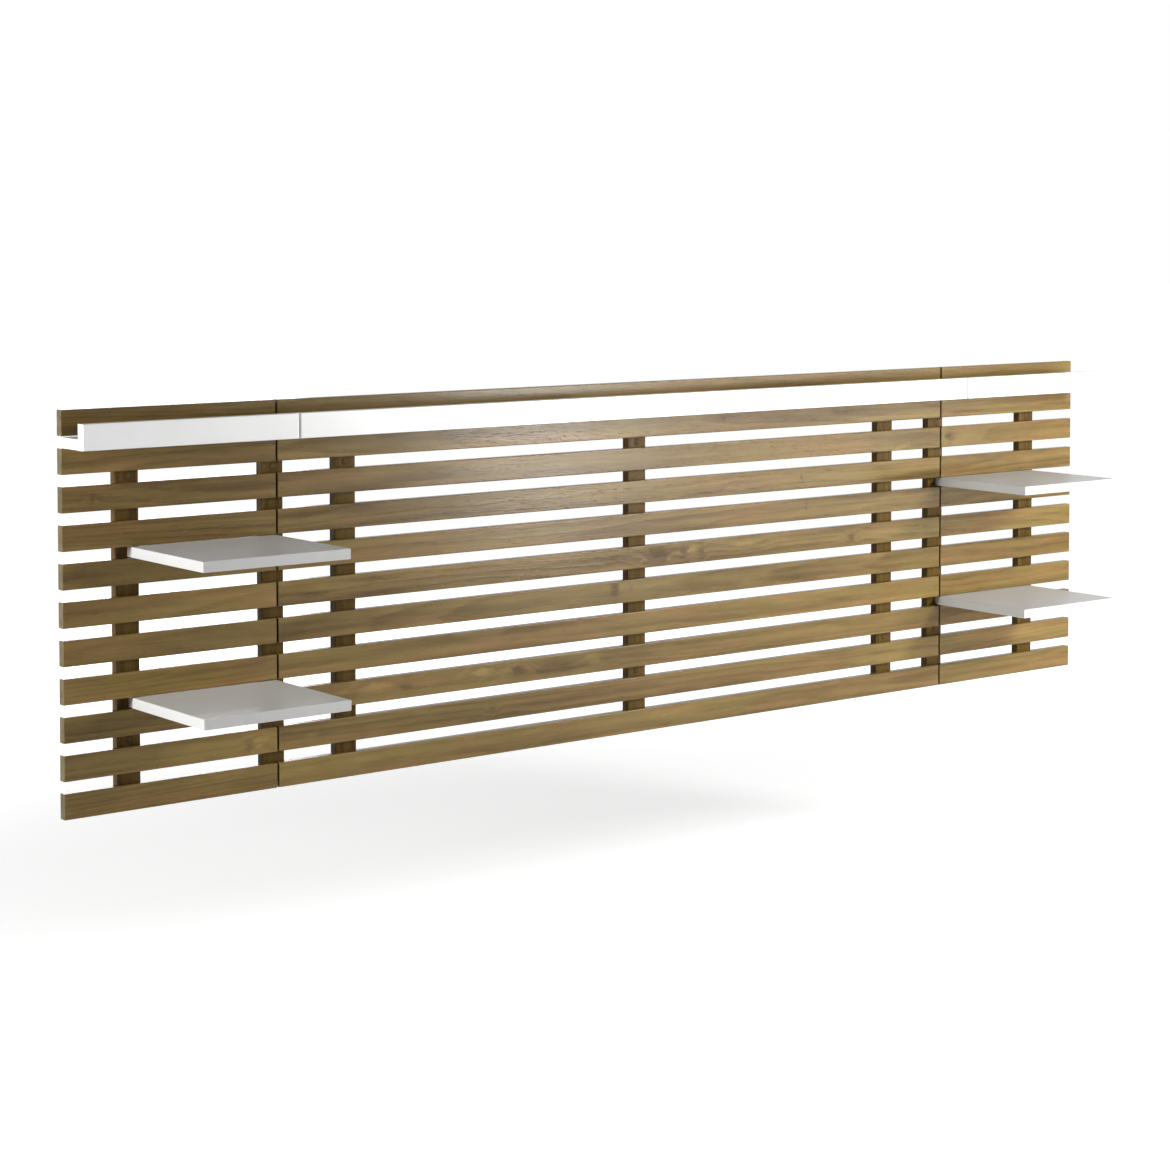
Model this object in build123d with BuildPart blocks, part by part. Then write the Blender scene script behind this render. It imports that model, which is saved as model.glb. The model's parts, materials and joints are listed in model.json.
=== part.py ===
from build123d import *
import os

os.makedirs("parts", exist_ok=True)

# A wall-hung slatted headboard. +X is the viewer's right, +Z is up, and the wall is the plane Y = 0.
# The front faces -Y, so a "depth" below is a distance in front of the wall. The origin is the centre
# of the wall screw pattern, on the wall, half way up the middle batten.

# Modules: a middle one as wide as the bed, and a narrow one at each side of it
middle_module_width = 1800.0
side_module_width = 450.0
module_gap = 4.0

# Slats
slat_count = 11
slat_height = 48.0
slat_thickness = 18.0
slat_gap = 22.0
slat_rounding = 2.0
slat_end_chamfer = 0.8

# Battens behind the slats
batten_width = 48.0
batten_depth = 18.0
batten_end_inset = 10.0
batten_rounding = 1.5
outer_batten_inset = 140.0
inner_batten_offset = 165.0

# Lacquered boards: how far they reach in front of the slats, and how many slats are above each
board_clearance = 1.0
lacquer_rounding = 1.5
shelf_reach = 264.0
slat_count_above_upper_shelf = 4
slat_count_above_lower_shelf = 8
ledge_reach = 86.0
lip_thickness = 20.0
lip_height = 48.0
slat_count_above_ledge = 1

# Countersunk wood screws, all with a right-angled head
countersink_angle = 90.0
screw_hole_clearance = 0.1
screw_end_clearance = 1.0
screw_tip_length = 5.0
screw_tip_radius = 0.4
slat_screw_radius = 2.0
slat_screw_head_radius = 4.0
slat_screw_length = 30.0
ledge_screw_length = 50.0
recess_arm_width = 1.1
recess_arm_span = 4.4
recess_depth = 1.4

# Steel brackets in the backs of the battens, with a rod up each end of a shelf
plate_width = 16.0
plate_height = 56.0
plate_thickness = 3.0
plate_corner_radius = 4.0
plate_clearance = 0.2
rod_radius = 4.0
rod_reach = 120.0
rod_clearance = 0.15
rod_end_clearance = 1.0
rod_chamfer = 1.0
bracket_screw_spacing = 40.0
bracket_screw_radius = 1.6
bracket_screw_head_radius = 3.2
bracket_screw_length = 14.0

# Dowels between each ledge board and its lip
dowel_radius = 4.0
dowel_in_lip = 12.0
dowel_in_board = 20.0
dowel_clearance = 0.1
dowel_end_clearance = 1.0
dowel_chamfer = 0.8
dowel_end_inset = 60.0
side_dowel_count = 3
middle_dowel_count = 9

# Wall screw holes, countersunk from the front and reached through a gap between slats, and through
# the gap as far from the bottom
wall_hole_radius = 3.0
wall_hole_sink_radius = 6.0
slat_count_above_wall_holes = 2

# Places that follow from the sizes
joint_x = middle_module_width / 2
panel_end_x = joint_x + side_module_width
outer_batten_x = panel_end_x - outer_batten_inset
inner_batten_x = joint_x - inner_batten_offset
slat_pitch = slat_height + slat_gap
panel_height = slat_count * slat_pitch - slat_gap
batten_length = panel_height - 2 * batten_end_inset
board_thickness = slat_gap - 2 * board_clearance
slat_front_depth = batten_depth + slat_thickness
lip_back_depth = slat_front_depth + ledge_reach - lip_thickness
module_end_x = joint_x - module_gap / 2
side_module_start_x = joint_x + module_gap / 2
# Each module lands on its own side of a joint batten, and is screwed at the middle of that landing
landing_offset = (batten_width / 2 + module_gap / 2) / 2
middle_landing_x = joint_x - landing_offset
side_landing_x = joint_x + landing_offset
outer_bracket_x = outer_batten_x - batten_width / 4
bracket_screw_offsets = (-bracket_screw_spacing / 2, bracket_screw_spacing / 2)

# A location turned this way drills from the wall towards the front, or from the front to the wall
drill_forwards = (-90, 0, 0)
drill_backwards = (90, 0, 0)


def slat_level(row):
    """Height of the middle of a slat, counted from 1 at the top."""
    return panel_height / 2 - slat_height / 2 - (row - 1) * slat_pitch


def gap_level(slats_above):
    """Height of the middle of the gap under that many slats."""
    return slat_level(slats_above) - slat_pitch / 2


ledge_level = gap_level(slat_count_above_ledge)
ledge_bottom = ledge_level - board_thickness / 2
shelf_levels = {
    "upper": gap_level(slat_count_above_upper_shelf),
    "lower": gap_level(slat_count_above_lower_shelf),
}
wall_hole_levels = [
    gap_level(slat_count_above_wall_holes),
    gap_level(slat_count - slat_count_above_wall_holes),
]
slat_rows = range(1, slat_count + 1)

# Each module: where it starts and ends, the columns of its screws, and its number of dowels
modules = {
    "left": (-panel_end_x, -side_module_start_x, [-outer_batten_x, -side_landing_x], side_dowel_count),
    "middle": (
        -module_end_x,
        module_end_x,
        [-middle_landing_x, -inner_batten_x, 0, inner_batten_x, middle_landing_x],
        middle_dowel_count,
    ),
    "right": (side_module_start_x, panel_end_x, [side_landing_x, outer_batten_x], side_dowel_count),
}

# Each batten: its centre line, and the columns of the brackets that are let into it
battens = {
    "left_outer": (-outer_batten_x, [-outer_bracket_x]),
    "left_joint": (-joint_x, [-side_landing_x]),
    "left_inner": (-inner_batten_x, []),
    "middle": (0, []),
    "right_inner": (inner_batten_x, []),
    "right_joint": (joint_x, [side_landing_x]),
    "right_outer": (outer_batten_x, [outer_bracket_x]),
}

screw_columns = [column for module in modules.values() for column in module[2]]


def save(piece, node):
    """Names a finished piece and writes it."""
    piece.part.label = node
    export_step(piece.part, f"parts/{node}.step")


def dowel_columns(start, end, count):
    """Evenly spaced places along a ledge, held in from its ends."""
    first = start + dowel_end_inset
    step = (end - start - 2 * dowel_end_inset) / (count - 1)
    return [first + step * index for index in range(count)]


# Slats, each with blind pilot holes in its back
for module_name, (start, end, columns, dowel_count) in modules.items():
    for row in slat_rows:
        level = slat_level(row)
        with BuildPart() as slat:
            with BuildSketch(Plane.YZ.offset(start)):
                with Locations((-batten_depth - slat_thickness / 2, level)):
                    RectangleRounded(slat_thickness, slat_height, slat_rounding)
            extrude(amount=end - start)
            chamfer(slat.faces().filter_by(Axis.X).edges(), slat_end_chamfer)
            with Locations(*[Location((x, -batten_depth, level), drill_forwards) for x in columns]):
                Hole(
                    radius=slat_screw_radius + screw_hole_clearance,
                    depth=slat_screw_length - batten_depth + screw_end_clearance,
                )
        save(slat, f"{module_name}_slat_{row:02d}")

# Battens, with their screw holes, wall holes and bracket seats
for batten_name, (centre_x, bracket_columns) in battens.items():
    columns = [x for x in screw_columns if abs(x - centre_x) < batten_width / 2]
    levels = [slat_level(row) for row in slat_rows] + [ledge_level]
    with BuildPart() as batten:
        with BuildSketch(Plane.XY.offset(-batten_length / 2)):
            with Locations((centre_x, -batten_depth / 2)):
                Rectangle(batten_width, batten_depth)
        extrude(amount=batten_length)
        fillet(batten.edges().filter_by(Axis.Z).group_by(Axis.Y)[0], batten_rounding)
        with Locations(*[Location((x, 0, z), drill_forwards) for x in columns for z in levels]):
            CounterSinkHole(
                radius=slat_screw_radius + screw_hole_clearance,
                counter_sink_radius=slat_screw_head_radius + screw_hole_clearance,
                depth=batten_depth,
                counter_sink_angle=countersink_angle,
            )
        wall_holes = [(centre_x, -batten_depth, z) for z in wall_hole_levels]
        with Locations(*[Location(place, drill_backwards) for place in wall_holes]):
            CounterSinkHole(
                radius=wall_hole_radius,
                counter_sink_radius=wall_hole_sink_radius,
                depth=batten_depth,
                counter_sink_angle=countersink_angle,
            )
        for x in bracket_columns:
            seats = [(x, z) for z in shelf_levels.values()]
            with BuildSketch(Plane.XZ):
                with Locations(*seats):
                    RectangleRounded(
                        plate_width + 2 * plate_clearance,
                        plate_height + 2 * plate_clearance,
                        plate_corner_radius + plate_clearance,
                    )
            extrude(amount=plate_thickness, mode=Mode.SUBTRACT)
            with Locations(*[Location((x, 0, z), drill_forwards) for x, z in seats]):
                Hole(radius=rod_radius + rod_clearance, depth=batten_depth)
            pilots = [(x, 0, z + offset) for x, z in seats for offset in bracket_screw_offsets]
            with Locations(*[Location(place, drill_forwards) for place in pilots]):
                Hole(
                    radius=bracket_screw_radius + screw_hole_clearance,
                    depth=bracket_screw_length + screw_end_clearance,
                )
    save(batten, f"{batten_name}_batten")

# Shelves, pushed through their gap to the battens, with a blind hole up each end for a bracket's rod
shelf_sides = {
    "left": (-outer_batten_x, -side_module_start_x, [-outer_bracket_x, -side_landing_x]),
    "right": (side_module_start_x, outer_batten_x, [side_landing_x, outer_bracket_x]),
}
for height_name, level in shelf_levels.items():
    for side_name, (start, end, rod_columns) in shelf_sides.items():
        with BuildPart() as shelf:
            with BuildSketch(Plane.XZ.offset(batten_depth)):
                with Locations(((start + end) / 2, level)):
                    Rectangle(end - start, board_thickness)
            extrude(amount=slat_thickness + shelf_reach)
            front_edges = shelf.faces().sort_by(Axis.Y)[0].edges()
            fillet(front_edges + shelf.edges().filter_by(Axis.Y), lacquer_rounding)
            with Locations(*[Location((x, -batten_depth, level), drill_forwards) for x in rod_columns]):
                Hole(radius=rod_radius + rod_clearance, depth=rod_reach + rod_end_clearance)
        save(shelf, f"{height_name}_{side_name}_shelf")

# Ledge along the top gap: a board in each module, with an upright lip on its front edge
for module_name, (start, end, columns, dowel_count) in modules.items():
    middle_x = (start + end) / 2
    dowel_places = dowel_columns(start, end, dowel_count)
    with BuildPart() as board:
        with BuildSketch(Plane.XZ.offset(batten_depth)):
            with Locations((middle_x, ledge_level)):
                Rectangle(end - start, board_thickness)
        extrude(amount=lip_back_depth - batten_depth)
        fillet(board.edges().filter_by(Axis.Y), lacquer_rounding)
        with Locations(*[Location((x, -batten_depth, ledge_level), drill_forwards) for x in columns]):
            Hole(
                radius=slat_screw_radius + screw_hole_clearance,
                depth=ledge_screw_length - batten_depth + screw_end_clearance,
            )
        with Locations(*[Location((x, -lip_back_depth, ledge_level), drill_backwards) for x in dowel_places]):
            Hole(radius=dowel_radius + dowel_clearance, depth=dowel_in_board + dowel_end_clearance)
    save(board, f"{module_name}_ledge_board")

    with BuildPart() as lip:
        with BuildSketch(Plane.XZ.offset(lip_back_depth)):
            with Locations((middle_x, ledge_bottom + lip_height / 2)):
                Rectangle(end - start, lip_height)
        extrude(amount=lip_thickness)
        top_back_edge = lip.edges().filter_by(Axis.X).group_by(Axis.Z)[-1].sort_by(Axis.Y)[-1]
        front_edges = lip.faces().sort_by(Axis.Y)[0].edges()
        fillet([*front_edges, top_back_edge], lacquer_rounding)
        with Locations(*[Location((x, -lip_back_depth, ledge_level), drill_forwards) for x in dowel_places]):
            Hole(radius=dowel_radius + dowel_clearance, depth=dowel_in_lip + dowel_end_clearance)
    save(lip, f"{module_name}_ledge_lip")


def build_screw(radius, head_radius, length):
    """A countersunk screw that points forwards from the wall plane, with a cross recess in its head."""
    head_height = head_radius - radius
    with BuildPart() as screw:
        with BuildSketch(Plane.XY):
            with BuildLine():
                Polyline(
                    (0, 0),
                    (head_radius, 0),
                    (radius, -head_height),
                    (radius, -length + screw_tip_length),
                    (screw_tip_radius, -length),
                    (0, -length),
                    close=True,
                )
            make_face()
        revolve(axis=Axis.Y)
        with BuildSketch(Plane.XZ):
            Rectangle(recess_arm_span, recess_arm_width)
            Rectangle(recess_arm_width, recess_arm_span)
        extrude(amount=recess_depth, mode=Mode.SUBTRACT)
    return screw.part


# Screws through the battens, into the slats and into the ledge boards
slat_screw = build_screw(slat_screw_radius, slat_screw_head_radius, slat_screw_length)
with BuildPart() as slat_screws:
    with Locations(*[(x, 0, slat_level(row)) for x in screw_columns for row in slat_rows]):
        add(slat_screw)
save(slat_screws, "slat_screws")

ledge_screw = build_screw(slat_screw_radius, slat_screw_head_radius, ledge_screw_length)
with BuildPart() as ledge_screws:
    with Locations(*[(x, 0, ledge_level) for x in screw_columns]):
        add(ledge_screw)
save(ledge_screws, "ledge_screws")

# Shelf brackets: a plate flush in the batten's back, with a rod through the batten into the shelf
bracket_places = [
    (x, 0, z) for z in shelf_levels.values() for side in shelf_sides.values() for x in side[2]
]
with BuildPart() as bracket:
    with BuildSketch(Plane.XZ):
        RectangleRounded(plate_width, plate_height, plate_corner_radius)
    extrude(amount=plate_thickness)
    with BuildSketch(Plane.XZ.offset(plate_thickness)):
        Circle(rod_radius)
    extrude(amount=batten_depth - plate_thickness + rod_reach)
    chamfer(bracket.faces().sort_by(Axis.Y)[0].edges(), rod_chamfer)
    with Locations(*[Location((0, 0, z), drill_forwards) for z in bracket_screw_offsets]):
        CounterSinkHole(
            radius=bracket_screw_radius + screw_hole_clearance,
            counter_sink_radius=bracket_screw_head_radius + screw_hole_clearance,
            depth=plate_thickness,
            counter_sink_angle=countersink_angle,
        )
with BuildPart() as shelf_brackets:
    with Locations(*bracket_places):
        add(bracket.part)
save(shelf_brackets, "shelf_brackets")

bracket_screw = build_screw(bracket_screw_radius, bracket_screw_head_radius, bracket_screw_length)
with BuildPart() as bracket_screws:
    with Locations(*[(x, 0, z + offset) for x, _, z in bracket_places for offset in bracket_screw_offsets]):
        add(bracket_screw)
save(bracket_screws, "bracket_screws")

# Dowels that hold each lip to its board
with BuildPart() as dowel:
    with BuildSketch(Plane.XZ.offset(lip_back_depth - dowel_in_board)):
        Circle(dowel_radius)
    extrude(amount=dowel_in_board + dowel_in_lip)
    chamfer(dowel.faces().filter_by(Axis.Y).edges(), dowel_chamfer)
dowel_places = [
    (x, 0, ledge_level) for start, end, _, count in modules.values() for x in dowel_columns(start, end, count)
]
with BuildPart() as ledge_dowels:
    with Locations(*dowel_places):
        add(dowel.part)
save(ledge_dowels, "ledge_dowels")
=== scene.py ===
import json
import math

import bpy
from mathutils import Euler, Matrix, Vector


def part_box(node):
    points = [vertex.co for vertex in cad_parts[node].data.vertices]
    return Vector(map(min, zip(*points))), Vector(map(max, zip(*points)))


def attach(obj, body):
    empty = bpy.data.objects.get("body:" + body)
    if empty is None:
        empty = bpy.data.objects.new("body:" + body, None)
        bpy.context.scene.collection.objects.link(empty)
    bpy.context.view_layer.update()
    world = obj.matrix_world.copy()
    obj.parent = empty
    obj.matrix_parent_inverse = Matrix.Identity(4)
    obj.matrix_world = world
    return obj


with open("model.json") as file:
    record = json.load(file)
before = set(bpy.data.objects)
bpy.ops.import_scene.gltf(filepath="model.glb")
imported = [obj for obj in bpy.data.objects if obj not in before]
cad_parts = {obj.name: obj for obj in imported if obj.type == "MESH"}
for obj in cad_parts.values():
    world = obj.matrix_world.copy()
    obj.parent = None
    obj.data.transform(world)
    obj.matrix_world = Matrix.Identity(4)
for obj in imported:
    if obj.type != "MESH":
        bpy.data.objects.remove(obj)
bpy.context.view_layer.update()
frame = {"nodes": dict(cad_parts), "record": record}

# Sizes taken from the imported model, in metres
PANEL_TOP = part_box("middle_slat_01")[1].z
SLAT_HEIGHT = PANEL_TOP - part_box("middle_slat_01")[0].z
SLAT_PITCH = PANEL_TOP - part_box("middle_slat_02")[1].z
JOINT_X = (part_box("middle_slat_01")[1].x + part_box("right_slat_01")[0].x) / 2
SLAT_FRONT_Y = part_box("middle_slat_01")[0].y

# The photograph's camera: where it stands, its turn to the right and its tip down, in degrees
CAMERA_PLACE = (-3.4519, -4.2796, 0.7106)
CAMERA_TURN = 37.854
CAMERA_TIP = 2.839
CAMERA_LENS = 79.43
CAMERA_SENSOR = 36.0
CAMERA_SHIFT = -0.2

# The room: the floor's height and radius, where its glow rises to the backdrop's white, and how strong
# the daylight from all sides is
FLOOR_LEVEL = -0.82
FLOOR_RADIUS = 60.0
FLOOR_CORNERS = 96
FLOOR_COLOUR = (0.80, 0.80, 0.80)
FLOOR_GLOW = 0.51
FLOOR_FADE_START = 1.6
FLOOR_FADE_END = 4.2
DAYLIGHT = 0.05

# Lamps: place, the point that each faces, width, height and watts
LAMPS = {
    "softbox_key": ((2.0, -2.3, 1.00), (1.3, 0.0, 0.3), 0.6, 0.5, 55.0),
    "softbox_above": ((1.9, -3.0, 1.4), (0.2, 0.0, 0.0), 1.2, 1.0, 24.0),
    "softbox_side": ((-4.1, -0.22, 0.62), (-1.0, -0.15, 0.0), 0.4, 1.0, 112.0),
    "window": ((2.20, -3.4, 0.24), (2.0, 0.0, 0.24), 0.48, 1.25, 64.0),
    "window_low": ((3.35, -3.4, 0.10), (1.4, 0.0, 0.2), 1.7, 1.10, 38.0),
    "softbox_back": ((0.0, 4.6, 0.2), (0.0, 0.0, 0.0), 4.0, 1.6, 95.0),
}

# Colours of the woods where they are pale, dark and reddish.
SLAT_PALE = (0.216, 0.146, 0.042)
SLAT_DEEP = (0.104, 0.061, 0.015)
SLAT_WARM = (0.232, 0.134, 0.044)
# The battens' colours are darker than the slats': partly darker walnut, partly painted shade of their
# recesses
BATTEN_PALE = (0.132, 0.081, 0.020)
BATTEN_DEEP = (0.054, 0.030, 0.007)
BATTEN_WARM = (0.134, 0.075, 0.019)
DOWEL_PALE = (0.56, 0.40, 0.24)
DOWEL_DEEP = (0.40, 0.26, 0.14)
DOWEL_WARM = (0.50, 0.32, 0.18)

# Marks in the slats' wood, in metres: place along and up the panel, half length, half height, how dark,
# and how far the rings swell round it. A mark below zero is paler than the wood about it.
SLAT_MARKS = (
    (-1.291, 0.210, 0.008, 0.007, 0.85, 0.006),
    (-0.965, -0.283, 0.010, 0.014, 0.60, 0.0),
    (-0.940, -0.281, 0.022, 0.012, -0.60, 0.010),
    (-0.825, -0.281, 0.014, 0.010, -0.40, 0.0),
    (-0.825, -0.007, 0.045, 0.007, 0.50, 0.0),
    (-0.672, 0.010, 0.060, 0.006, 0.55, 0.0),
    (-0.671, -0.204, 0.040, 0.013, -0.70, 0.008),
    (-0.605, -0.207, 0.022, 0.016, 0.55, 0.0),
    (-0.545, -0.208, 0.032, 0.012, -0.45, 0.0),
    (-0.419, -0.200, 0.034, 0.009, -0.45, 0.009),
    (-0.328, -0.208, 0.024, 0.013, 1.10, 0.014),
    (-0.393, -0.281, 0.013, 0.008, 0.60, 0.007),
    (-0.235, -0.209, 0.085, 0.020, 0.70, 0.0),
    (-0.129, -0.201, 0.026, 0.012, -0.65, 0.006),
    (-0.074, -0.062, 0.013, 0.020, 0.90, 0.006),
    (-0.031, -0.062, 0.007, 0.016, 0.50, 0.0),
    (0.002, -0.008, 0.013, 0.008, -0.70, 0.0),
    (0.046, 0.002, 0.044, 0.019, 1.15, 0.016),
    (0.075, -0.009, 0.010, 0.007, -1.10, 0.0),
    (0.116, 0.002, 0.010, 0.019, 0.85, 0.006),
    (0.141, 0.005, 0.017, 0.014, -0.80, 0.006),
    (0.167, -0.001, 0.010, 0.019, 0.85, 0.006),
    (0.288, 0.008, 0.050, 0.012, -0.55, 0.008),
    (0.266, 0.139, 0.026, 0.008, 0.45, 0.008),
    (0.459, 0.142, 0.004, 0.014, 0.85, 0.0),
    (0.474, 0.078, 0.004, 0.014, 0.85, 0.0),
    (0.612, -0.003, 0.015, 0.014, 0.85, 0.010),
    (0.929, 0.210, 0.015, 0.012, 0.80, 0.010),
    (0.990, 0.213, 0.045, 0.012, -0.40, 0.010),
)
MARK_DEPTH = 0.05

# Where a mark's darkness, and the swell of the rings round it, begin and are full, in its own half sizes
MARK_DARK_REACH = (1.20, 0.10)
MARK_SWELL_REACH = (2.6, 0.0)

# The ragged edge of these marks: its pattern, in repeats to the metre, and how far it moves them, in metres
RAGGED_STRETCH = (60.0, 60.0, 130.0)
RAGGED_REACH = (0.030, 0.0, 0.014)

# What the woods' colours are multiplied by in a pore, a knot, a pale figure and an end cut across the grain
PORE_SHADE = (0.45, 0.42, 0.38)
KNOT_SHADE = (0.85, 0.70, 0.52)
PALE_FIGURE_SHADE = (1.32, 1.30, 1.35)
END_GRAIN_SHADE = (0.62, 0.76, 1.20)

# How each pattern in the wood is stretched along, through and across its board, in repeats to the metre
BEND_STRETCH = (0.9, 4.0, 4.0)
FINE_BEND_STRETCH = (9.0, 60.0, 60.0)
KNOT_STRETCH = (2.1, 6.5, 6.5)
STREAK_STRETCH = (1.6, 48.0, 48.0)
FIBRE_STRETCH = (9.0, 520.0, 520.0)
PORE_STRETCH = (55.0, 1100.0, 1100.0)
PATCH_STRETCH = (1.1, 9.0, 9.0)
FIGURE_STRETCH = (10.0, 58.0, 58.0)
HUE_STRETCH = (4.0, 30.0, 30.0)

# How far apart in the wood two boards can be cut, in metres along, through and across the grain
BOARD_STRIDE = (37.0, 11.0, 23.0)

# The heart that the rings run round: how far behind the board it lies, how much this and its height differ
# from board to board, its slope, and how far it wanders, all in metres
HEART_DEPTH = 0.030
HEART_DEPTH_RANGE = 0.055
HEART_HEIGHT_RANGE = 0.075
HEART_SLOPE = 0.055
HEART_WANDER_DEEP = 0.036
HEART_WANDER_UP = 0.034

# Knots: the share of cells that hold none, where the rings begin to swell and by how many metres, and the
# start and full depth of the dark round the knot and of its core, in cells
KNOTLESS_CELLS = 0.45
KNOT_SWELL_REACH = 0.42
KNOT_SWELL = 0.010
KNOT_DARK_REACH = (0.26, 0.05)
KNOT_CORE_REACH = (0.085, 0.035)

# Rings: how uneven and how wavy they are, in rings, how late each darkens, and where its dark line fades
RING_UNEVEN_SCALE = 90.0
RING_UNEVENNESS = 1.3
RING_WAVER = 0.55
RING_LATENESS = 1.7
RING_FADE_START = 0.76

# How dark each pattern makes the wood, from 0 for the pale colour to 1 for the dark one
RING_DARKNESS = 0.50
STREAK_DARKNESS = (-0.12, 0.42)
PATCH_DARKNESS = (-0.16, 0.24)
FIGURE_DARKNESS = 0.90
FIBRE_DARKNESS = 0.34
BOARD_DARKNESS = 0.25
KNOT_DARKNESS = 0.40
MARK_DARKNESS = 0.85

# How rough the walnut is, and what each pattern adds to its roughness and to its relief
WOOD_ROUGHNESS = 0.17
RING_ROUGHNESS = -0.05
FIBRE_ROUGHNESS = 0.10
PORE_ROUGHNESS = 0.18
KNOT_ROUGHNESS = 0.22
END_GRAIN_ROUGHNESS = 0.22
DOWEL_ROUGHNESS = 0.25
RING_RISE = 0.30
FIBRE_RISE = 0.45
PORE_DEPTH = 0.9
KNOT_DEPTH = 0.6

# Ring widths of the three woods, and the depth of the relief in each finish, in metres
SLAT_RING_WIDTH = 0.0078
BATTEN_RING_WIDTH = 0.0062
DOWEL_RING_WIDTH = 0.0022
WALNUT_RELIEF = 0.00022
DOWEL_RELIEF = 0.0002
LACQUER_RELIEF = 0.00003
PLATE_RELIEF = 0.00004
CAP_RELIEF = 0.00002

# How many steps to the metre tell one batten, and one dowel, from the next
BATTEN_STEPS = 12.0
DOWEL_STEPS = 25.0

# Worn edges, in the colours that they take
SLAT_EDGE = (0.30, 0.215, 0.115)
BATTEN_EDGE = (0.24, 0.17, 0.09)
# The shelves' edge colour is darkened with their lacquer, as painted shade
SHELF_EDGE = (0.68, 0.68, 0.67)
LEDGE_EDGE = (0.90, 0.90, 0.89)
PLATE_EDGE = (0.82, 0.82, 0.83)
CAP_EDGE = (0.17, 0.11, 0.05)

# The caps on the wall screws, in metres, and how many slats above and below the middle they stand
CAP_RADIUS = 0.0072
CAP_RISE = 0.0014
CAP_STEM_RADIUS = 0.0045
CAP_STEM_DEPTH = 0.0050
CAP_SLATS_FROM_MIDDLE = 3.5
CAP_COUNT = 14
CAP_COLUMNS = 7.0
CAP_SEGMENTS = 24
CAP_RINGS = 14
CAP_BROWN = (0.100, 0.058, 0.018)
CAP_DEEP_BROWN = (0.072, 0.040, 0.012)

# Patterns of the lacquers, the plate and the plastic, in repeats to the metre, and what the lacquers' and the
# plate's colours are multiplied by where they are darkest
LACQUER_DRIFT_SCALE = 3.2
LACQUER_SMUDGE_SCALE = 9.0
LACQUER_PEEL_SCALE = 420.0
LACQUER_WIPED_STRETCH = (5.0, 60.0, 60.0)
LACQUER_SHADE = (0.955, 0.955, 0.95)
PLATE_CRYSTAL_SCALE = 260.0
PLATE_STAIN_SCALE = 70.0
PLATE_ROLLED_STRETCH = (900.0, 900.0, 30.0)
PLATE_SHADE = (0.72, 0.72, 0.74)
CAP_MOTTLE_SCALE = 420.0
CAP_MOULDED_SCALE = 1500.0

# Colours of the lacquers and metals
# The shelves' white lacquer is darkened as painted shade; the ledge has the same lacquer at its full white
SHELF_WHITE_PAINTED_SHADE = (0.615, 0.611, 0.600)
LEDGE_WHITE = (0.930, 0.930, 0.925)
SCREW_ZINC = (0.70, 0.66, 0.52)
BRACKET_ZINC = (0.62, 0.63, 0.64)


def node(tree, kind, values=None, **settings):
    """Adds a shader node. Values go to its sockets by name or number: a number, a colour or an output."""
    made = tree.nodes.new(kind)
    for name, value in settings.items():
        setattr(made, name, value)
    for socket, value in (values or {}).items():
        if isinstance(value, bpy.types.NodeSocket):
            tree.links.new(value, made.inputs[socket])
        else:
            made.inputs[socket].default_value = value
    return made


def calc(tree, operation, first, second=0.0, third=0.0):
    """One step of arithmetic."""
    return node(tree, "ShaderNodeMath", {0: first, 1: second, 2: third}, operation=operation).outputs[0]


def point_calc(tree, operation, first, second=(0, 0, 0)):
    """One step of arithmetic on a point."""
    return node(tree, "ShaderNodeVectorMath", {0: first, 1: second}, operation=operation).outputs[0]


def spread(tree, value, low, high, to_low=0.0, to_high=1.0, kind="SMOOTHSTEP"):
    """Stretches the range from low to high over the range from to_low to to_high, and holds the ends."""
    values = {"Value": value, 1: low, 2: high, 3: to_low, 4: to_high}
    return node(tree, "ShaderNodeMapRange", values, interpolation_type=kind).outputs[0]


def blend(tree, amount, first, second, kind="MIX"):
    """Mixes two colours."""
    made = node(tree, "ShaderNodeMix", data_type="RGBA", blend_type=kind, clamp_factor=True)
    for socket, value in ((0, amount), (6, first), (7, second)):
        if isinstance(value, bpy.types.NodeSocket):
            tree.links.new(value, made.inputs[socket])
        elif socket == 0:
            made.inputs[socket].default_value = value
        else:
            made.inputs[socket].default_value = (*value[:3], 1.0)
    return made.outputs[2]


def cloud(tree, place, scale, detail=2.0, roughness=0.5, distortion=0.0):
    """A soft random value over space, from 0 to 1."""
    values = {
        "Vector": place, "Scale": scale, "Detail": detail, "Roughness": roughness, "Distortion": distortion,
    }
    return node(tree, "ShaderNodeTexNoise", values, noise_dimensions="3D").outputs["Fac"]


def stretched(tree, place, along, through, across):
    """A place whose three directions are scaled by themselves."""
    return point_calc(tree, "MULTIPLY", place, (along, through, across))


def group(name, inputs, outputs):
    """Starts a shader node group with named inputs and outputs. Each input is a kind and its usual value."""
    tree = bpy.data.node_groups.new(name, "ShaderNodeTree")
    for title, (kind, usual) in inputs.items():
        socket = tree.interface.new_socket(name=title, in_out="INPUT", socket_type="NodeSocket" + kind)
        if usual is not None:
            socket.default_value = usual
    for title, kind in outputs.items():
        tree.interface.new_socket(name=title, in_out="OUTPUT", socket_type="NodeSocket" + kind)
    return tree, tree.nodes.new("NodeGroupInput").outputs, tree.nodes.new("NodeGroupOutput").inputs


def use_group(tree, made, values):
    """Places a node group in a material and returns its outputs."""
    placed = tree.nodes.new("ShaderNodeGroup")
    placed.node_tree = made
    for title, value in values.items():
        if isinstance(value, bpy.types.NodeSocket):
            tree.links.new(value, placed.inputs[title])
        elif hasattr(value, "__len__") and len(placed.inputs[title].default_value) == 4:
            placed.inputs[title].default_value = (*value[:3], 1.0)
        else:
            placed.inputs[title].default_value = value
    return placed.outputs


def material(name):
    """Starts a material with an empty tree."""
    made = bpy.data.materials.new(name)
    made.use_nodes = True
    made.node_tree.nodes.clear()
    return made, made.node_tree


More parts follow.
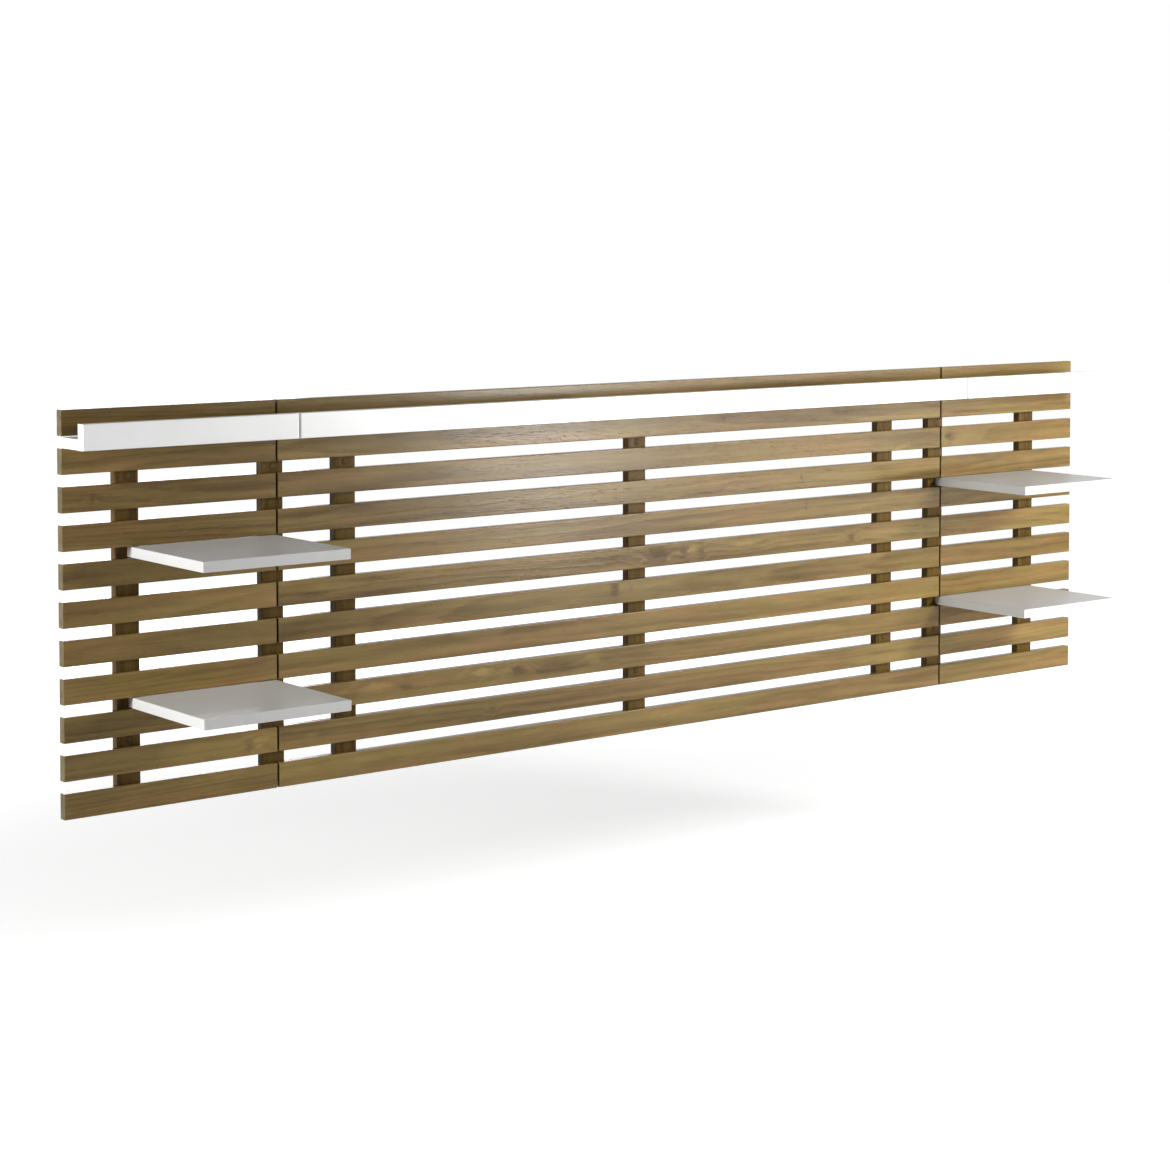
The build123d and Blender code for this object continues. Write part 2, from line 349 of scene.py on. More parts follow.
def finish_surface(tree, colour, roughness, height, relief, **fixed):
    """Ends a material in its shader. The height is in relief depths; fixed values go on the shader."""
    bump = node(tree, "ShaderNodeBump", {"Height": height, "Distance": relief})
    shader = node(tree, "ShaderNodeBsdfPrincipled", {"Normal": bump.outputs[0]})
    for socket, value in (("Base Color", colour), ("Roughness", roughness)):
        tree.links.new(value, shader.inputs[socket])
    for title, value in fixed.items():
        shader.inputs[title.replace("_", " ")].default_value = value
    output = tree.nodes.new("ShaderNodeOutputMaterial")
    tree.links.new(shader.outputs[0], output.inputs["Surface"])


def make_worn_edges():
    """A mask of the rounded edges, broken up by a soft pattern, from the direction that the surface faces."""
    tree, given, put = group(
        "worn_edges",
        {"Place": ("Vector", None), "Facing": ("Vector", None), "Patch Scale": ("Float", 40.0)},
        {"Wear": "Float"},
    )
    faces = node(tree, "ShaderNodeSeparateXYZ", {0: point_calc(tree, "ABSOLUTE", given["Facing"])}).outputs
    widest = calc(tree, "MAXIMUM", calc(tree, "MAXIMUM", faces[0], faces[1]), faces[2])
    rounded = spread(tree, widest, 0.99, 0.80)
    patches = cloud(tree, given["Place"], given["Patch Scale"], detail=4.0, roughness=0.65)
    tree.links.new(calc(tree, "MULTIPLY", rounded, spread(tree, patches, 0.38, 0.66)), put["Wear"])
    return tree


def make_wood_mark():
    """A knot, split or pale figure at one place in a board: its own darkness, and the swell of the rings."""
    tree, given, put = group(
        "wood_mark",
        {
            "Place": ("Vector", None),
            "Middle": ("Vector", None),
            "Reach": ("Vector", None),
            "Darkness": ("Float", 1.0),
            "Swell": ("Float", 0.01),
            "Marks So Far": ("Float", 0.0),
            "Swell So Far": ("Float", 0.0),
        },
        {"Marks": "Float", "Swell": "Float"},
    )
    away = point_calc(tree, "SUBTRACT", given["Place"], given["Middle"])
    away = point_calc(tree, "DIVIDE", away, given["Reach"])
    far = node(tree, "ShaderNodeVectorMath", {0: away}, operation="LENGTH").outputs["Value"]
    kinds = (("Marks", "Darkness", MARK_DARK_REACH), ("Swell", "Swell", MARK_SWELL_REACH))
    for title, strength, reach in kinds:
        here = spread(tree, far, *reach)
        total = calc(tree, "MULTIPLY_ADD", here, given[strength], given[title + " So Far"])
        tree.links.new(total, put[title])
    return tree


def make_wood_grain():
    """Solid wood with its grain along the first direction of the place: growth rings round a wandering
    heart, streaks, fibres, pores, and knots that the rings flow round."""
    tree, given, put = group(
        "wood_grain",
        {
            "Place": ("Vector", None),
            "Board": ("Vector", None),
            "Pale": ("Color", None),
            "Deep": ("Color", None),
            "Warm": ("Color", None),
            "Ring Width": ("Float", 0.0075),
            "Knot Size": ("Float", 1.0),
            "Contrast": ("Float", 1.0),
            "Marks": ("Float", 0.0),
            "Swell": ("Float", 0.0),
        },
        {"Colour": "Color", "Roughness": "Float", "Height": "Float"},
    )
    board = node(tree, "ShaderNodeSeparateXYZ", {0: given["Board"]}).outputs
    shift = point_calc(tree, "MULTIPLY", given["Board"], BOARD_STRIDE)
    place = point_calc(tree, "ADD", given["Place"], shift)
    own = node(tree, "ShaderNodeSeparateXYZ", {0: given["Place"]}).outputs

    # The heart lies some way behind the board, leans, and wanders along it
    bend = {"Vector": stretched(tree, place, *BEND_STRETCH), "Scale": 1.0, "Detail": 3.0}
    bend = node(tree, "ShaderNodeTexNoise", bend).outputs["Color"]
    bend = point_calc(tree, "SUBTRACT", bend, (0.5, 0.5, 0.5))
    bend = node(tree, "ShaderNodeSeparateXYZ", {0: bend}).outputs
    slope = calc(tree, "MULTIPLY", calc(tree, "SUBTRACT", board[0], 0.5), HEART_SLOPE)
    behind = calc(tree, "ADD", HEART_DEPTH, calc(tree, "MULTIPLY", board[1], HEART_DEPTH_RANGE))
    behind = calc(tree, "MULTIPLY_ADD", own[0], slope, behind)
    behind = calc(tree, "MULTIPLY_ADD", bend[0], HEART_WANDER_DEEP, behind)
    above = calc(tree, "MULTIPLY", calc(tree, "SUBTRACT", board[2], 0.5), HEART_HEIGHT_RANGE)
    above = calc(tree, "MULTIPLY_ADD", bend[1], HEART_WANDER_UP, above)
    deep = calc(tree, "POWER", calc(tree, "SUBTRACT", behind, own[1]), 2.0)
    up = calc(tree, "POWER", calc(tree, "SUBTRACT", own[2], above), 2.0)
    from_heart = calc(tree, "SQRT", calc(tree, "ADD", deep, up))

    # Knots: a few of the cells of a stretched pattern hold one, and the rings swell round it
    cells = node(
        tree, "ShaderNodeTexVoronoi",
        {"Vector": stretched(tree, place, *KNOT_STRETCH), "Scale": 1.0, "Randomness": 1.0},
        voronoi_dimensions="3D", feature="F1",
    ).outputs
    chance = node(tree, "ShaderNodeSeparateColor", {0: cells["Color"]}).outputs[0]
    holds_knot = calc(tree, "GREATER_THAN", chance, KNOTLESS_CELLS)
    knot_far = calc(tree, "DIVIDE", cells["Distance"], given["Knot Size"])
    swell = calc(tree, "MULTIPLY", spread(tree, knot_far, KNOT_SWELL_REACH, 0.0), holds_knot)
    knot_core = calc(tree, "MULTIPLY", spread(tree, knot_far, *KNOT_CORE_REACH), holds_knot)
    knot_shade = calc(tree, "MULTIPLY", spread(tree, knot_far, *KNOT_DARK_REACH), holds_knot)
    from_heart = calc(tree, "MULTIPLY_ADD", swell, KNOT_SWELL, from_heart)
    from_heart = calc(tree, "ADD", from_heart, given["Swell"])

    # Rings: uneven widths, pale spring wood that darkens slowly to a thin line
    uneven_place = node(tree, "ShaderNodeCombineXYZ", {0: from_heart, 1: board[0]}).outputs[0]
    uneven = cloud(tree, uneven_place, RING_UNEVEN_SCALE, 1.0)
    fine_bend = cloud(tree, stretched(tree, place, *FINE_BEND_STRETCH), 1.0, 3.0)
    ring = calc(tree, "DIVIDE", from_heart, given["Ring Width"])
    ring = calc(tree, "MULTIPLY_ADD", uneven, RING_UNEVENNESS, ring)
    ring = calc(tree, "MULTIPLY_ADD", fine_bend, RING_WAVER, ring)
    ring = calc(tree, "FRACT", ring)
    darkening = calc(tree, "POWER", ring, RING_LATENESS)
    ring_line = calc(tree, "MULTIPLY", darkening, spread(tree, ring, 1.0, RING_FADE_START))

    # Streaks and fibres run along the board
    streak = cloud(tree, stretched(tree, place, *STREAK_STRETCH), 1.0, 4.0, 0.55)
    fibre = cloud(tree, stretched(tree, place, *FIBRE_STRETCH), 1.0, 3.0, 0.6)
    pore = cloud(tree, stretched(tree, place, *PORE_STRETCH), 1.0, 1.0)
    by_ring = spread(tree, ring_line, 0.0, 0.5, 0.35, 1.0)
    pore = calc(tree, "MULTIPLY", spread(tree, pore, 0.62, 0.74), by_ring)
    patch = cloud(tree, stretched(tree, place, *PATCH_STRETCH), 1.0, 2.0)
    figure = cloud(tree, stretched(tree, place, *FIGURE_STRETCH), 1.0, 3.0, 0.55, 0.6)
    hue_place = point_calc(tree, "ADD", stretched(tree, place, *HUE_STRETCH), (5.2, 1.3, 9.1))
    hue = cloud(tree, hue_place, 1.0, 3.0)

    # How dark the wood is at each point, then its colour
    dark = calc(tree, "MULTIPLY", ring_line, RING_DARKNESS)
    dark = calc(tree, "ADD", dark, spread(tree, streak, 0.36, 0.68, *STREAK_DARKNESS))
    dark = calc(tree, "ADD", dark, spread(tree, patch, 0.34, 0.66, *PATCH_DARKNESS))
    for pattern, weight in ((figure, FIGURE_DARKNESS), (fibre, FIBRE_DARKNESS), (board[1], BOARD_DARKNESS)):
        dark = calc(tree, "MULTIPLY_ADD", calc(tree, "SUBTRACT", pattern, 0.5), weight, dark)
    dark = calc(tree, "MULTIPLY_ADD", knot_shade, KNOT_DARKNESS, dark)
    dark = calc(tree, "MULTIPLY_ADD", given["Marks"], MARK_DARKNESS, dark)
    dark = calc(tree, "MULTIPLY", dark, given["Contrast"])
    pale = blend(tree, spread(tree, hue, 0.44, 0.60, 0.0, 0.78), given["Pale"], given["Warm"])
    colour = blend(tree, spread(tree, dark, 0.0, 1.0, kind="LINEAR"), pale, given["Deep"])
    palest = blend(tree, 1.0, pale, PALE_FIGURE_SHADE, "MULTIPLY")
    colour = blend(tree, spread(tree, dark, 0.0, -0.55), colour, palest)
    pore_colour = blend(tree, 1.0, colour, PORE_SHADE, "MULTIPLY")
    colour = blend(tree, calc(tree, "MULTIPLY", pore, 0.8), colour, pore_colour)
    knot_colour = blend(tree, 1.0, given["Deep"], KNOT_SHADE, "MULTIPLY")
    knot_core = calc(tree, "MAXIMUM", knot_core, spread(tree, given["Marks"], 0.55, 1.0))
    colour = blend(tree, calc(tree, "MULTIPLY", knot_core, 0.85), colour, knot_colour)
    tree.links.new(colour, put["Colour"])

    rough = calc(tree, "MULTIPLY_ADD", ring_line, RING_ROUGHNESS, WOOD_ROUGHNESS)
    for pattern, added in ((fibre, FIBRE_ROUGHNESS), (pore, PORE_ROUGHNESS), (knot_core, KNOT_ROUGHNESS)):
        rough = calc(tree, "MULTIPLY_ADD", pattern, added, rough)
    tree.links.new(rough, put["Roughness"])
    height = calc(tree, "MULTIPLY_ADD", fibre, FIBRE_RISE, calc(tree, "MULTIPLY", ring_line, RING_RISE))
    for pattern, depth in ((pore, PORE_DEPTH), (knot_core, KNOT_DEPTH)):
        height = calc(tree, "SUBTRACT", height, calc(tree, "MULTIPLY", pattern, depth))
    tree.links.new(height, put["Height"])
    return tree


def make_lacquer():
    """Sprayed lacquer: faint orange peel, slow changes of tone and gloss, and fine wiping marks."""
    tree, given, put = group(
        "sprayed_lacquer",
        {
            "Place": ("Vector", None),
            "Colour": ("Color", None),
            "Edge Wear": ("Float", 0.0),
            "Edge Colour": ("Color", None),
            "Gloss Roughness": ("Float", 0.30),
        },
        {"Colour": "Color", "Roughness": "Float", "Height": "Float"},
    )
    drift = cloud(tree, given["Place"], LACQUER_DRIFT_SCALE, 3.0)
    shade = blend(tree, 1.0, given["Colour"], LACQUER_SHADE, "MULTIPLY")
    colour = blend(tree, spread(tree, drift, 0.35, 0.70), given["Colour"], shade)
    colour = blend(tree, calc(tree, "MULTIPLY", given["Edge Wear"], 0.6), colour, given["Edge Colour"])
    tree.links.new(colour, put["Colour"])
    wiped = cloud(tree, stretched(tree, given["Place"], *LACQUER_WIPED_STRETCH), 1.0, 3.0)
    smudge = cloud(tree, given["Place"], LACQUER_SMUDGE_SCALE, 4.0, 0.6)
    rough = calc(tree, "MULTIPLY_ADD", wiped, 0.05, given["Gloss Roughness"])
    rough = calc(tree, "MULTIPLY_ADD", smudge, 0.12, rough)
    rough = calc(tree, "MULTIPLY_ADD", given["Edge Wear"], 0.12, rough)
    tree.links.new(rough, put["Roughness"])
    peel = cloud(tree, given["Place"], LACQUER_PEEL_SCALE, 1.0)
    tree.links.new(calc(tree, "MULTIPLY_ADD", drift, 2.0, peel), put["Height"])
    return tree


def make_plated_steel():
    """Zinc-plated steel: patches of crystal tone, rolling marks and worn edges."""
    tree, given, put = group(
        "plated_steel",
        {
            "Place": ("Vector", None),
            "Colour": ("Color", None),
            "Edge Wear": ("Float", 0.0),
            "Plate Roughness": ("Float", 0.34),
        },
        {"Colour": "Color", "Roughness": "Float", "Height": "Float"},
    )
    cells = {"Vector": given["Place"], "Scale": PLATE_CRYSTAL_SCALE}
    crystal = node(tree, "ShaderNodeTexVoronoi", cells, voronoi_dimensions="3D").outputs["Color"]
    crystal = node(tree, "ShaderNodeSeparateColor", {0: crystal}).outputs[0]
    rolled = cloud(tree, stretched(tree, given["Place"], *PLATE_ROLLED_STRETCH), 1.0, 3.0)
    stain = cloud(tree, given["Place"], PLATE_STAIN_SCALE, 4.0, 0.6)
    darker = blend(tree, 1.0, given["Colour"], PLATE_SHADE, "MULTIPLY")
    tone = calc(tree, "MULTIPLY_ADD", crystal, 0.35, spread(tree, stain, 0.35, 0.75, 0.0, 0.5))
    colour = blend(tree, tone, given["Colour"], darker)
    colour = blend(tree, given["Edge Wear"], colour, PLATE_EDGE)
    tree.links.new(colour, put["Colour"])
    rough = calc(tree, "MULTIPLY_ADD", crystal, 0.10, given["Plate Roughness"])
    rough = calc(tree, "MULTIPLY_ADD", stain, 0.14, rough)
    tree.links.new(rough, put["Roughness"])
    height = calc(tree, "MULTIPLY_ADD", rolled, 0.7, calc(tree, "MULTIPLY", crystal, 0.3))
    tree.links.new(height, put["Height"])
    return tree


worn_edges = make_worn_edges()
wood_mark = make_wood_mark()
wood_grain = make_wood_grain()
sprayed_lacquer = make_lacquer()
plated_steel = make_plated_steel()


def surface_place(tree):
    """The point of the surface and the direction that it faces, both in the object's own frame."""
    place = tree.nodes.new("ShaderNodeTexCoord").outputs
    return place["Object"], place["Normal"]


def end_grain(tree, colour, rough, along):
    """Darker, duller and greyer wood where the board was cut across its grain."""
    cut = spread(tree, along, 0.55, 0.85)
    sawn = blend(tree, 1.0, colour, END_GRAIN_SHADE, "MULTIPLY")
    return blend(tree, cut, colour, sawn), calc(tree, "MULTIPLY_ADD", cut, END_GRAIN_ROUGHNESS, rough)


def slat_wood():
    """Satin walnut of the slats. Every slat of each module is a board of its own."""
    made, tree = material("satin_walnut_slats")
    place, facing = surface_place(tree)
    at = node(tree, "ShaderNodeSeparateXYZ", {0: place}).outputs
    row = calc(tree, "FLOOR", calc(tree, "DIVIDE", calc(tree, "SUBTRACT", PANEL_TOP, at[2]), SLAT_PITCH))
    module = calc(
        tree, "SUBTRACT",
        calc(tree, "GREATER_THAN", at[0], JOINT_X), calc(tree, "LESS_THAN", at[0], -JOINT_X),
    )
    board = node(
        tree, "ShaderNodeTexWhiteNoise",
        {"Vector": node(tree, "ShaderNodeCombineXYZ", {0: row, 1: module, 2: 3.0}).outputs[0]},
        noise_dimensions="3D",
    ).outputs["Color"]
    middle = calc(tree, "SUBTRACT", PANEL_TOP - SLAT_HEIGHT / 2, calc(tree, "MULTIPLY", row, SLAT_PITCH))
    own_place = node(
        tree, "ShaderNodeCombineXYZ",
        {
            0: at[0],
            1: calc(tree, "SUBTRACT", at[1], SLAT_FRONT_Y),
            2: calc(tree, "SUBTRACT", at[2], middle),
        },
    ).outputs[0]

    # The marks' edges are ragged
    ragged = {"Vector": stretched(tree, place, *RAGGED_STRETCH), "Scale": 1.0}
    ragged = node(tree, "ShaderNodeTexNoise", ragged).outputs["Color"]
    ragged = point_calc(tree, "SUBTRACT", ragged, (0.5, 0.5, 0.5))
    marked_place = point_calc(tree, "ADD", place, stretched(tree, ragged, *RAGGED_REACH))
    marks = {"Marks": 0.0, "Swell": 0.0}
    for along, up, half_length, half_height, darkness, swell in SLAT_MARKS:
        marks = use_group(tree, wood_mark, {
            "Place": marked_place, "Middle": (along, SLAT_FRONT_Y, up),
            "Reach": (half_length, MARK_DEPTH, half_height), "Darkness": darkness, "Swell": swell,
            "Marks So Far": marks["Marks"], "Swell So Far": marks["Swell"],
        })
    grain = use_group(tree, wood_grain, {
        "Place": own_place, "Board": board, "Pale": SLAT_PALE, "Deep": SLAT_DEEP, "Warm": SLAT_WARM,
        "Ring Width": SLAT_RING_WIDTH, "Knot Size": 0.7, "Contrast": 1.0,
        "Marks": marks["Marks"], "Swell": marks["Swell"],
    })
    wear = use_group(tree, worn_edges, {"Place": place, "Facing": facing, "Patch Scale": 32.0})["Wear"]
    faces = node(tree, "ShaderNodeSeparateXYZ", {0: point_calc(tree, "ABSOLUTE", facing)}).outputs
    colour, rough = end_grain(tree, grain["Colour"], grain["Roughness"], faces[0])
    colour = blend(tree, calc(tree, "MULTIPLY", wear, 0.35), colour, SLAT_EDGE)
    finish_surface(tree, colour, rough, grain["Height"], WALNUT_RELIEF, Specular_IOR_Level=0.19)
    return made


def batten_wood():
    """Walnut of the battens, whose grain runs upright, darkened partly as painted shade of their recesses."""
    made, tree = material("satin_walnut_battens")
    place, facing = surface_place(tree)
    at = node(tree, "ShaderNodeSeparateXYZ", {0: place}).outputs
    number = calc(tree, "ROUND", calc(tree, "MULTIPLY", at[0], BATTEN_STEPS))
    board = node(tree, "ShaderNodeTexWhiteNoise", {"W": number}, noise_dimensions="1D").outputs["Color"]
    column = calc(tree, "DIVIDE", number, BATTEN_STEPS)
    own_place = node(
        tree, "ShaderNodeCombineXYZ", {0: at[2], 1: at[1], 2: calc(tree, "SUBTRACT", at[0], column)},
    ).outputs[0]
    grain = use_group(tree, wood_grain, {
        "Place": own_place, "Board": board, "Pale": BATTEN_PALE, "Deep": BATTEN_DEEP, "Warm": BATTEN_WARM,
        "Ring Width": BATTEN_RING_WIDTH, "Knot Size": 0.9, "Contrast": 1.0,
    })
    wear = use_group(tree, worn_edges, {"Place": place, "Facing": facing, "Patch Scale": 45.0})["Wear"]
    faces = node(tree, "ShaderNodeSeparateXYZ", {0: point_calc(tree, "ABSOLUTE", facing)}).outputs
    colour, rough = end_grain(tree, grain["Colour"], grain["Roughness"], faces[2])
    colour = blend(tree, calc(tree, "MULTIPLY", wear, 0.3), colour, BATTEN_EDGE)
    finish_surface(tree, colour, rough, grain["Height"], WALNUT_RELIEF, Specular_IOR_Level=0.05)
    return made


def dowel_wood():
    """Unfinished beech of the dowels, with its grain along them."""
    made, tree = material("beech_dowels")
    place = surface_place(tree)[0]
    at = node(tree, "ShaderNodeSeparateXYZ", {0: place}).outputs
    number = calc(tree, "ROUND", calc(tree, "MULTIPLY", at[0], DOWEL_STEPS))
    board = node(tree, "ShaderNodeTexWhiteNoise", {"W": number}, noise_dimensions="1D").outputs["Color"]
    own_place = node(tree, "ShaderNodeCombineXYZ", {0: at[1], 1: at[2], 2: at[0]}).outputs[0]
    grain = use_group(tree, wood_grain, {
        "Place": own_place, "Board": board, "Pale": DOWEL_PALE, "Deep": DOWEL_DEEP, "Warm": DOWEL_WARM,
        "Ring Width": DOWEL_RING_WIDTH, "Knot Size": 0.01, "Contrast": 0.7,
    })
    rough = calc(tree, "ADD", grain["Roughness"], DOWEL_ROUGHNESS)
    finish_surface(tree, grain["Colour"], rough, grain["Height"], DOWEL_RELIEF, Specular_IOR_Level=0.3)
    return made


def white_lacquer(name, colour, edge_colour, gloss, shine):
    """Sprayed white lacquer, with a trace of wear along its edges."""
    made, tree = material(name)
    place, facing = surface_place(tree)
    wear = use_group(tree, worn_edges, {"Place": place, "Facing": facing, "Patch Scale": 28.0})["Wear"]
    coat = use_group(tree, sprayed_lacquer, {
        "Place": place, "Colour": colour, "Edge Wear": wear, "Edge Colour": edge_colour,
        "Gloss Roughness": gloss,
    })
    finish_surface(
        tree, coat["Colour"], coat["Roughness"], coat["Height"], LACQUER_RELIEF, Specular_IOR_Level=shine,
    )
    return made


def zinc_plate(name, colour, roughness):
    """Zinc-plated steel of the screws and brackets."""
    made, tree = material(name)
    place, facing = surface_place(tree)
    wear = use_group(tree, worn_edges, {"Place": place, "Facing": facing, "Patch Scale": 160.0})["Wear"]
    plate = use_group(tree, plated_steel, {
        "Place": place, "Colour": colour, "Edge Wear": wear, "Plate Roughness": roughness,
    })
    finish_surface(tree, plate["Colour"], plate["Roughness"], plate["Height"], PLATE_RELIEF, Metallic=1.0)
    return made


finishes = {
    "slat_wood": slat_wood(),
    "batten_wood": batten_wood(),
    "dowel_wood": dowel_wood(),
    "shelf_lacquer": white_lacquer("white_lacquer_shelves", SHELF_WHITE_PAINTED_SHADE, SHELF_EDGE, gloss=0.30, shine=0.30),
    "ledge_lacquer": white_lacquer("white_lacquer_ledge", LEDGE_WHITE, LEDGE_EDGE, gloss=0.16, shine=1.00),
    "screw_steel": zinc_plate("yellow_zinc_screws", SCREW_ZINC, roughness=0.32),
    "bracket_steel": zinc_plate("zinc_brackets", BRACKET_ZINC, roughness=0.38),
}
for part in frame["record"]["subparts"]:
    frame["nodes"][part["node"]].data.materials[0] = finishes[part["material_slot"]]


def cap_plastic():
    """Brown moulded plastic of the screw caps, a little glossy and faintly mottled."""
    made, tree = material("brown_plastic_caps")
    place, facing = surface_place(tree)
    wear = use_group(tree, worn_edges, {"Place": place, "Facing": facing, "Patch Scale": 240.0})["Wear"]
    mottle = cloud(tree, place, CAP_MOTTLE_SCALE, 3.0)
    colour = blend(tree, spread(tree, mottle, 0.3, 0.7), CAP_BROWN, CAP_DEEP_BROWN)
    colour = blend(tree, calc(tree, "MULTIPLY", wear, 0.25), colour, CAP_EDGE)
    rough = calc(tree, "MULTIPLY_ADD", mottle, 0.16, 0.52)
    moulded = cloud(tree, place, CAP_MOULDED_SCALE, 1.0)
    finish_surface(tree, colour, rough, moulded, CAP_RELIEF, Specular_IOR_Level=0.12)
    return made


def column_of(batten):
    """How far a batten's middle stands from the middle of the panel."""
    low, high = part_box(batten)
    return (low.x + high.x) / 2


def make_screw_caps():
    """A low domed cap on every wall screw: one turned shape with a stem, set in seven columns of two."""
    tree = bpy.data.node_groups.new("screw_caps", "GeometryNodeTree")
    sizes = {
        "Radius": CAP_RADIUS,
        "Rise": CAP_RISE,
        "Stem Radius": CAP_STEM_RADIUS,
        "Stem Depth": CAP_STEM_DEPTH,
        "Front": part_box("middle_batten")[0].y,
        "Level": CAP_SLATS_FROM_MIDDLE * SLAT_PITCH,
        "Inner Column": column_of("right_inner_batten"),
        "Joint Column": column_of("right_joint_batten"),
        "End Column": column_of("right_outer_batten"),
    }
    sockets = {}
    for title in sizes:
        socket = tree.interface.new_socket(name=title, in_out="INPUT", socket_type="NodeSocketFloat")
        sockets[title] = socket.identifier
    tree.interface.new_socket(name="Caps", in_out="OUTPUT", socket_type="NodeSocketGeometry")
    given = tree.nodes.new("NodeGroupInput").outputs

    # One cap from a closed ball: its near half is pressed into the dome, its far half into the stem
    ball = {"Segments": CAP_SEGMENTS, "Rings": CAP_RINGS, "Radius": 1.0}
    ball = node(tree, "GeometryNodeMeshUVSphere", ball).outputs["Mesh"]
    at = tree.nodes.new("GeometryNodeInputPosition").outputs[0]
    at = node(tree, "ShaderNodeSeparateXYZ", {0: at}).outputs
    behind = calc(tree, "LESS_THAN", at[2], -0.001)
    deep = calc(tree, "MULTIPLY", spread(tree, at[2], -0.30, -1.0, kind="LINEAR"), given["Stem Depth"])
    rise = calc(tree, "MULTIPLY", calc(tree, "MAXIMUM", at[2], 0.0), given["Rise"])
    narrower = calc(tree, "SUBTRACT", given["Stem Radius"], given["Radius"])
    wide = calc(tree, "MULTIPLY_ADD", narrower, behind, given["Radius"])
    turned = node(tree, "ShaderNodeCombineXYZ", {
        0: calc(tree, "MULTIPLY", at[0], wide), 1: calc(tree, "SUBTRACT", deep, rise),
        2: calc(tree, "MULTIPLY", at[1], wide),
    }).outputs[0]
    cap = node(tree, "GeometryNodeSetPosition", {"Geometry": ball, "Position": turned}).outputs[0]

    # Where each one stands: pairs of columns to the right and left of the middle one, at two levels
    number = tree.nodes.new("GeometryNodeInputIndex").outputs[0]
    column = calc(tree, "MODULO", number, CAP_COLUMNS)
    pair = calc(tree, "CEIL", calc(tree, "DIVIDE", column, 2.0))
    side = calc(tree, "MULTIPLY_ADD", calc(tree, "MODULO", column, 2.0), 2.0, -1.0)
    across = 0.0
    for step, title in ((1.0, "Inner Column"), (2.0, "Joint Column"), (3.0, "End Column")):
        here = calc(tree, "COMPARE", pair, step, 0.1)
        across = calc(tree, "MULTIPLY_ADD", here, given[title], across)
    level = calc(tree, "MULTIPLY_ADD", calc(tree, "GREATER_THAN", number, CAP_COLUMNS - 0.5), 2.0, -1.0)
    stand = node(tree, "ShaderNodeCombineXYZ", {
        0: calc(tree, "MULTIPLY", across, side), 1: given["Front"],
        2: calc(tree, "MULTIPLY", level, given["Level"]),
    }).outputs[0]
    points = node(tree, "GeometryNodePoints", {"Count": CAP_COUNT, "Position": stand}).outputs[0]
    placed = node(tree, "GeometryNodeInstanceOnPoints", {"Points": points, "Instance": cap}).outputs[0]
    solid = node(tree, "GeometryNodeRealizeInstances", {0: placed}).outputs[0]
    smooth = node(tree, "GeometryNodeSetShadeSmooth", {"Geometry": solid}).outputs[0]
    finished = node(tree, "GeometryNodeSetMaterial", {"Geometry": smooth, "Material": cap_plastic()})
    tree.links.new(finished.outputs[0], tree.nodes.new("NodeGroupOutput").inputs[0])

    maker = bpy.data.objects.new("cap_maker", bpy.data.meshes.new("cap_maker"))
    bpy.context.scene.collection.objects.link(maker)
    modifier = maker.modifiers.new("screw_caps", "NODES")
    modifier.node_group = tree
    for title, identifier in sockets.items():
        modifier[identifier] = sizes[title]
    evaluated = maker.evaluated_get(bpy.context.evaluated_depsgraph_get())
    mesh = bpy.data.meshes.new_from_object(evaluated)
    maker.modifiers.clear()
    bpy.data.objects.remove(maker)
    caps = bpy.data.objects.new("wall_screw_caps", mesh)
    bpy.context.scene.collection.objects.link(caps)
    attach(caps, "root")


make_screw_caps()


